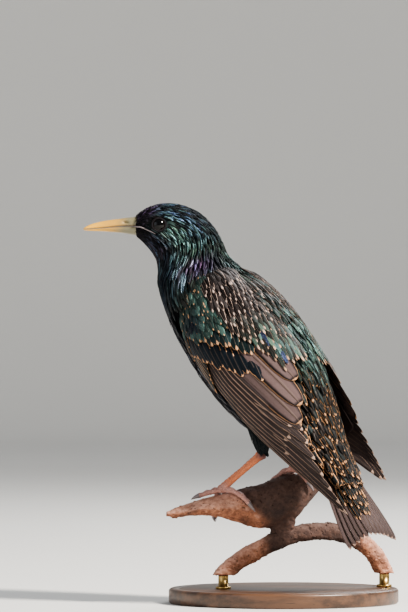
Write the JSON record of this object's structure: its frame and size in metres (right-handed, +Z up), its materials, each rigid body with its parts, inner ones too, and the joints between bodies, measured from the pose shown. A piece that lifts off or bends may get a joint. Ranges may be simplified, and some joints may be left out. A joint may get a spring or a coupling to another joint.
{
  "type": "perched starling model",
  "caption": "Life-size still model of a starling gripping a short cut length of forged iron, carried by two short rods on a plain round stand",
  "frame": {"origin": "centre of the stand base's flat underside", "axes": "+Z up; +X is to the right of the view that the pose was taken from and +Y goes away from it. The body heads 142 degrees round from +X and the head is turned a further 38 degrees to the bird's left, so that the bill points along -X"},
  "size_m": [0.1485, 0.1102, 0.1881],
  "materials": {
    "plumage": "dark glossy body feathers",
    "flight_feathers": "satin brown-black feathers with pale edges",
    "bill": "yellow horn",
    "eye": "wet dark brown",
    "leg": "scaled orange-brown skin",
    "claw": "grey-brown horn",
    "iron": "rusted forged iron",
    "base": "dark satin wood",
    "rod": "satin brass"
  },
  "bodies": {
    "root": {"torso": "plumage", "neck": "plumage", "head": "plumage", "thigh_left": "plumage", "thigh_right": "plumage", "wing_left": "flight_feathers", "wing_right": "flight_feathers", "tail": "flight_feathers", "bill_upper": "bill", "bill_lower": "bill", "eye_left": "eye", "eye_right": "eye", "tarsus_left": "leg", "tarsus_right": "leg", "foot_left": "leg", "foot_right": "leg", "claw_left_middle": "claw", "claw_left_outer": "claw", "claw_left_inner": "claw", "claw_left_hind": "claw", "claw_right_middle": "claw", "claw_right_outer": "claw", "claw_right_inner": "claw", "claw_right_hind": "claw", "perch_finial": "iron", "perch_arch_1": "iron", "perch_arch_2": "iron", "perch_arch_3": "iron", "perch_arch_4": "iron", "stand_base": "base", "stand_rod_left": "rod", "stand_rod_right": "rod"}
  },
  "joints": []
}
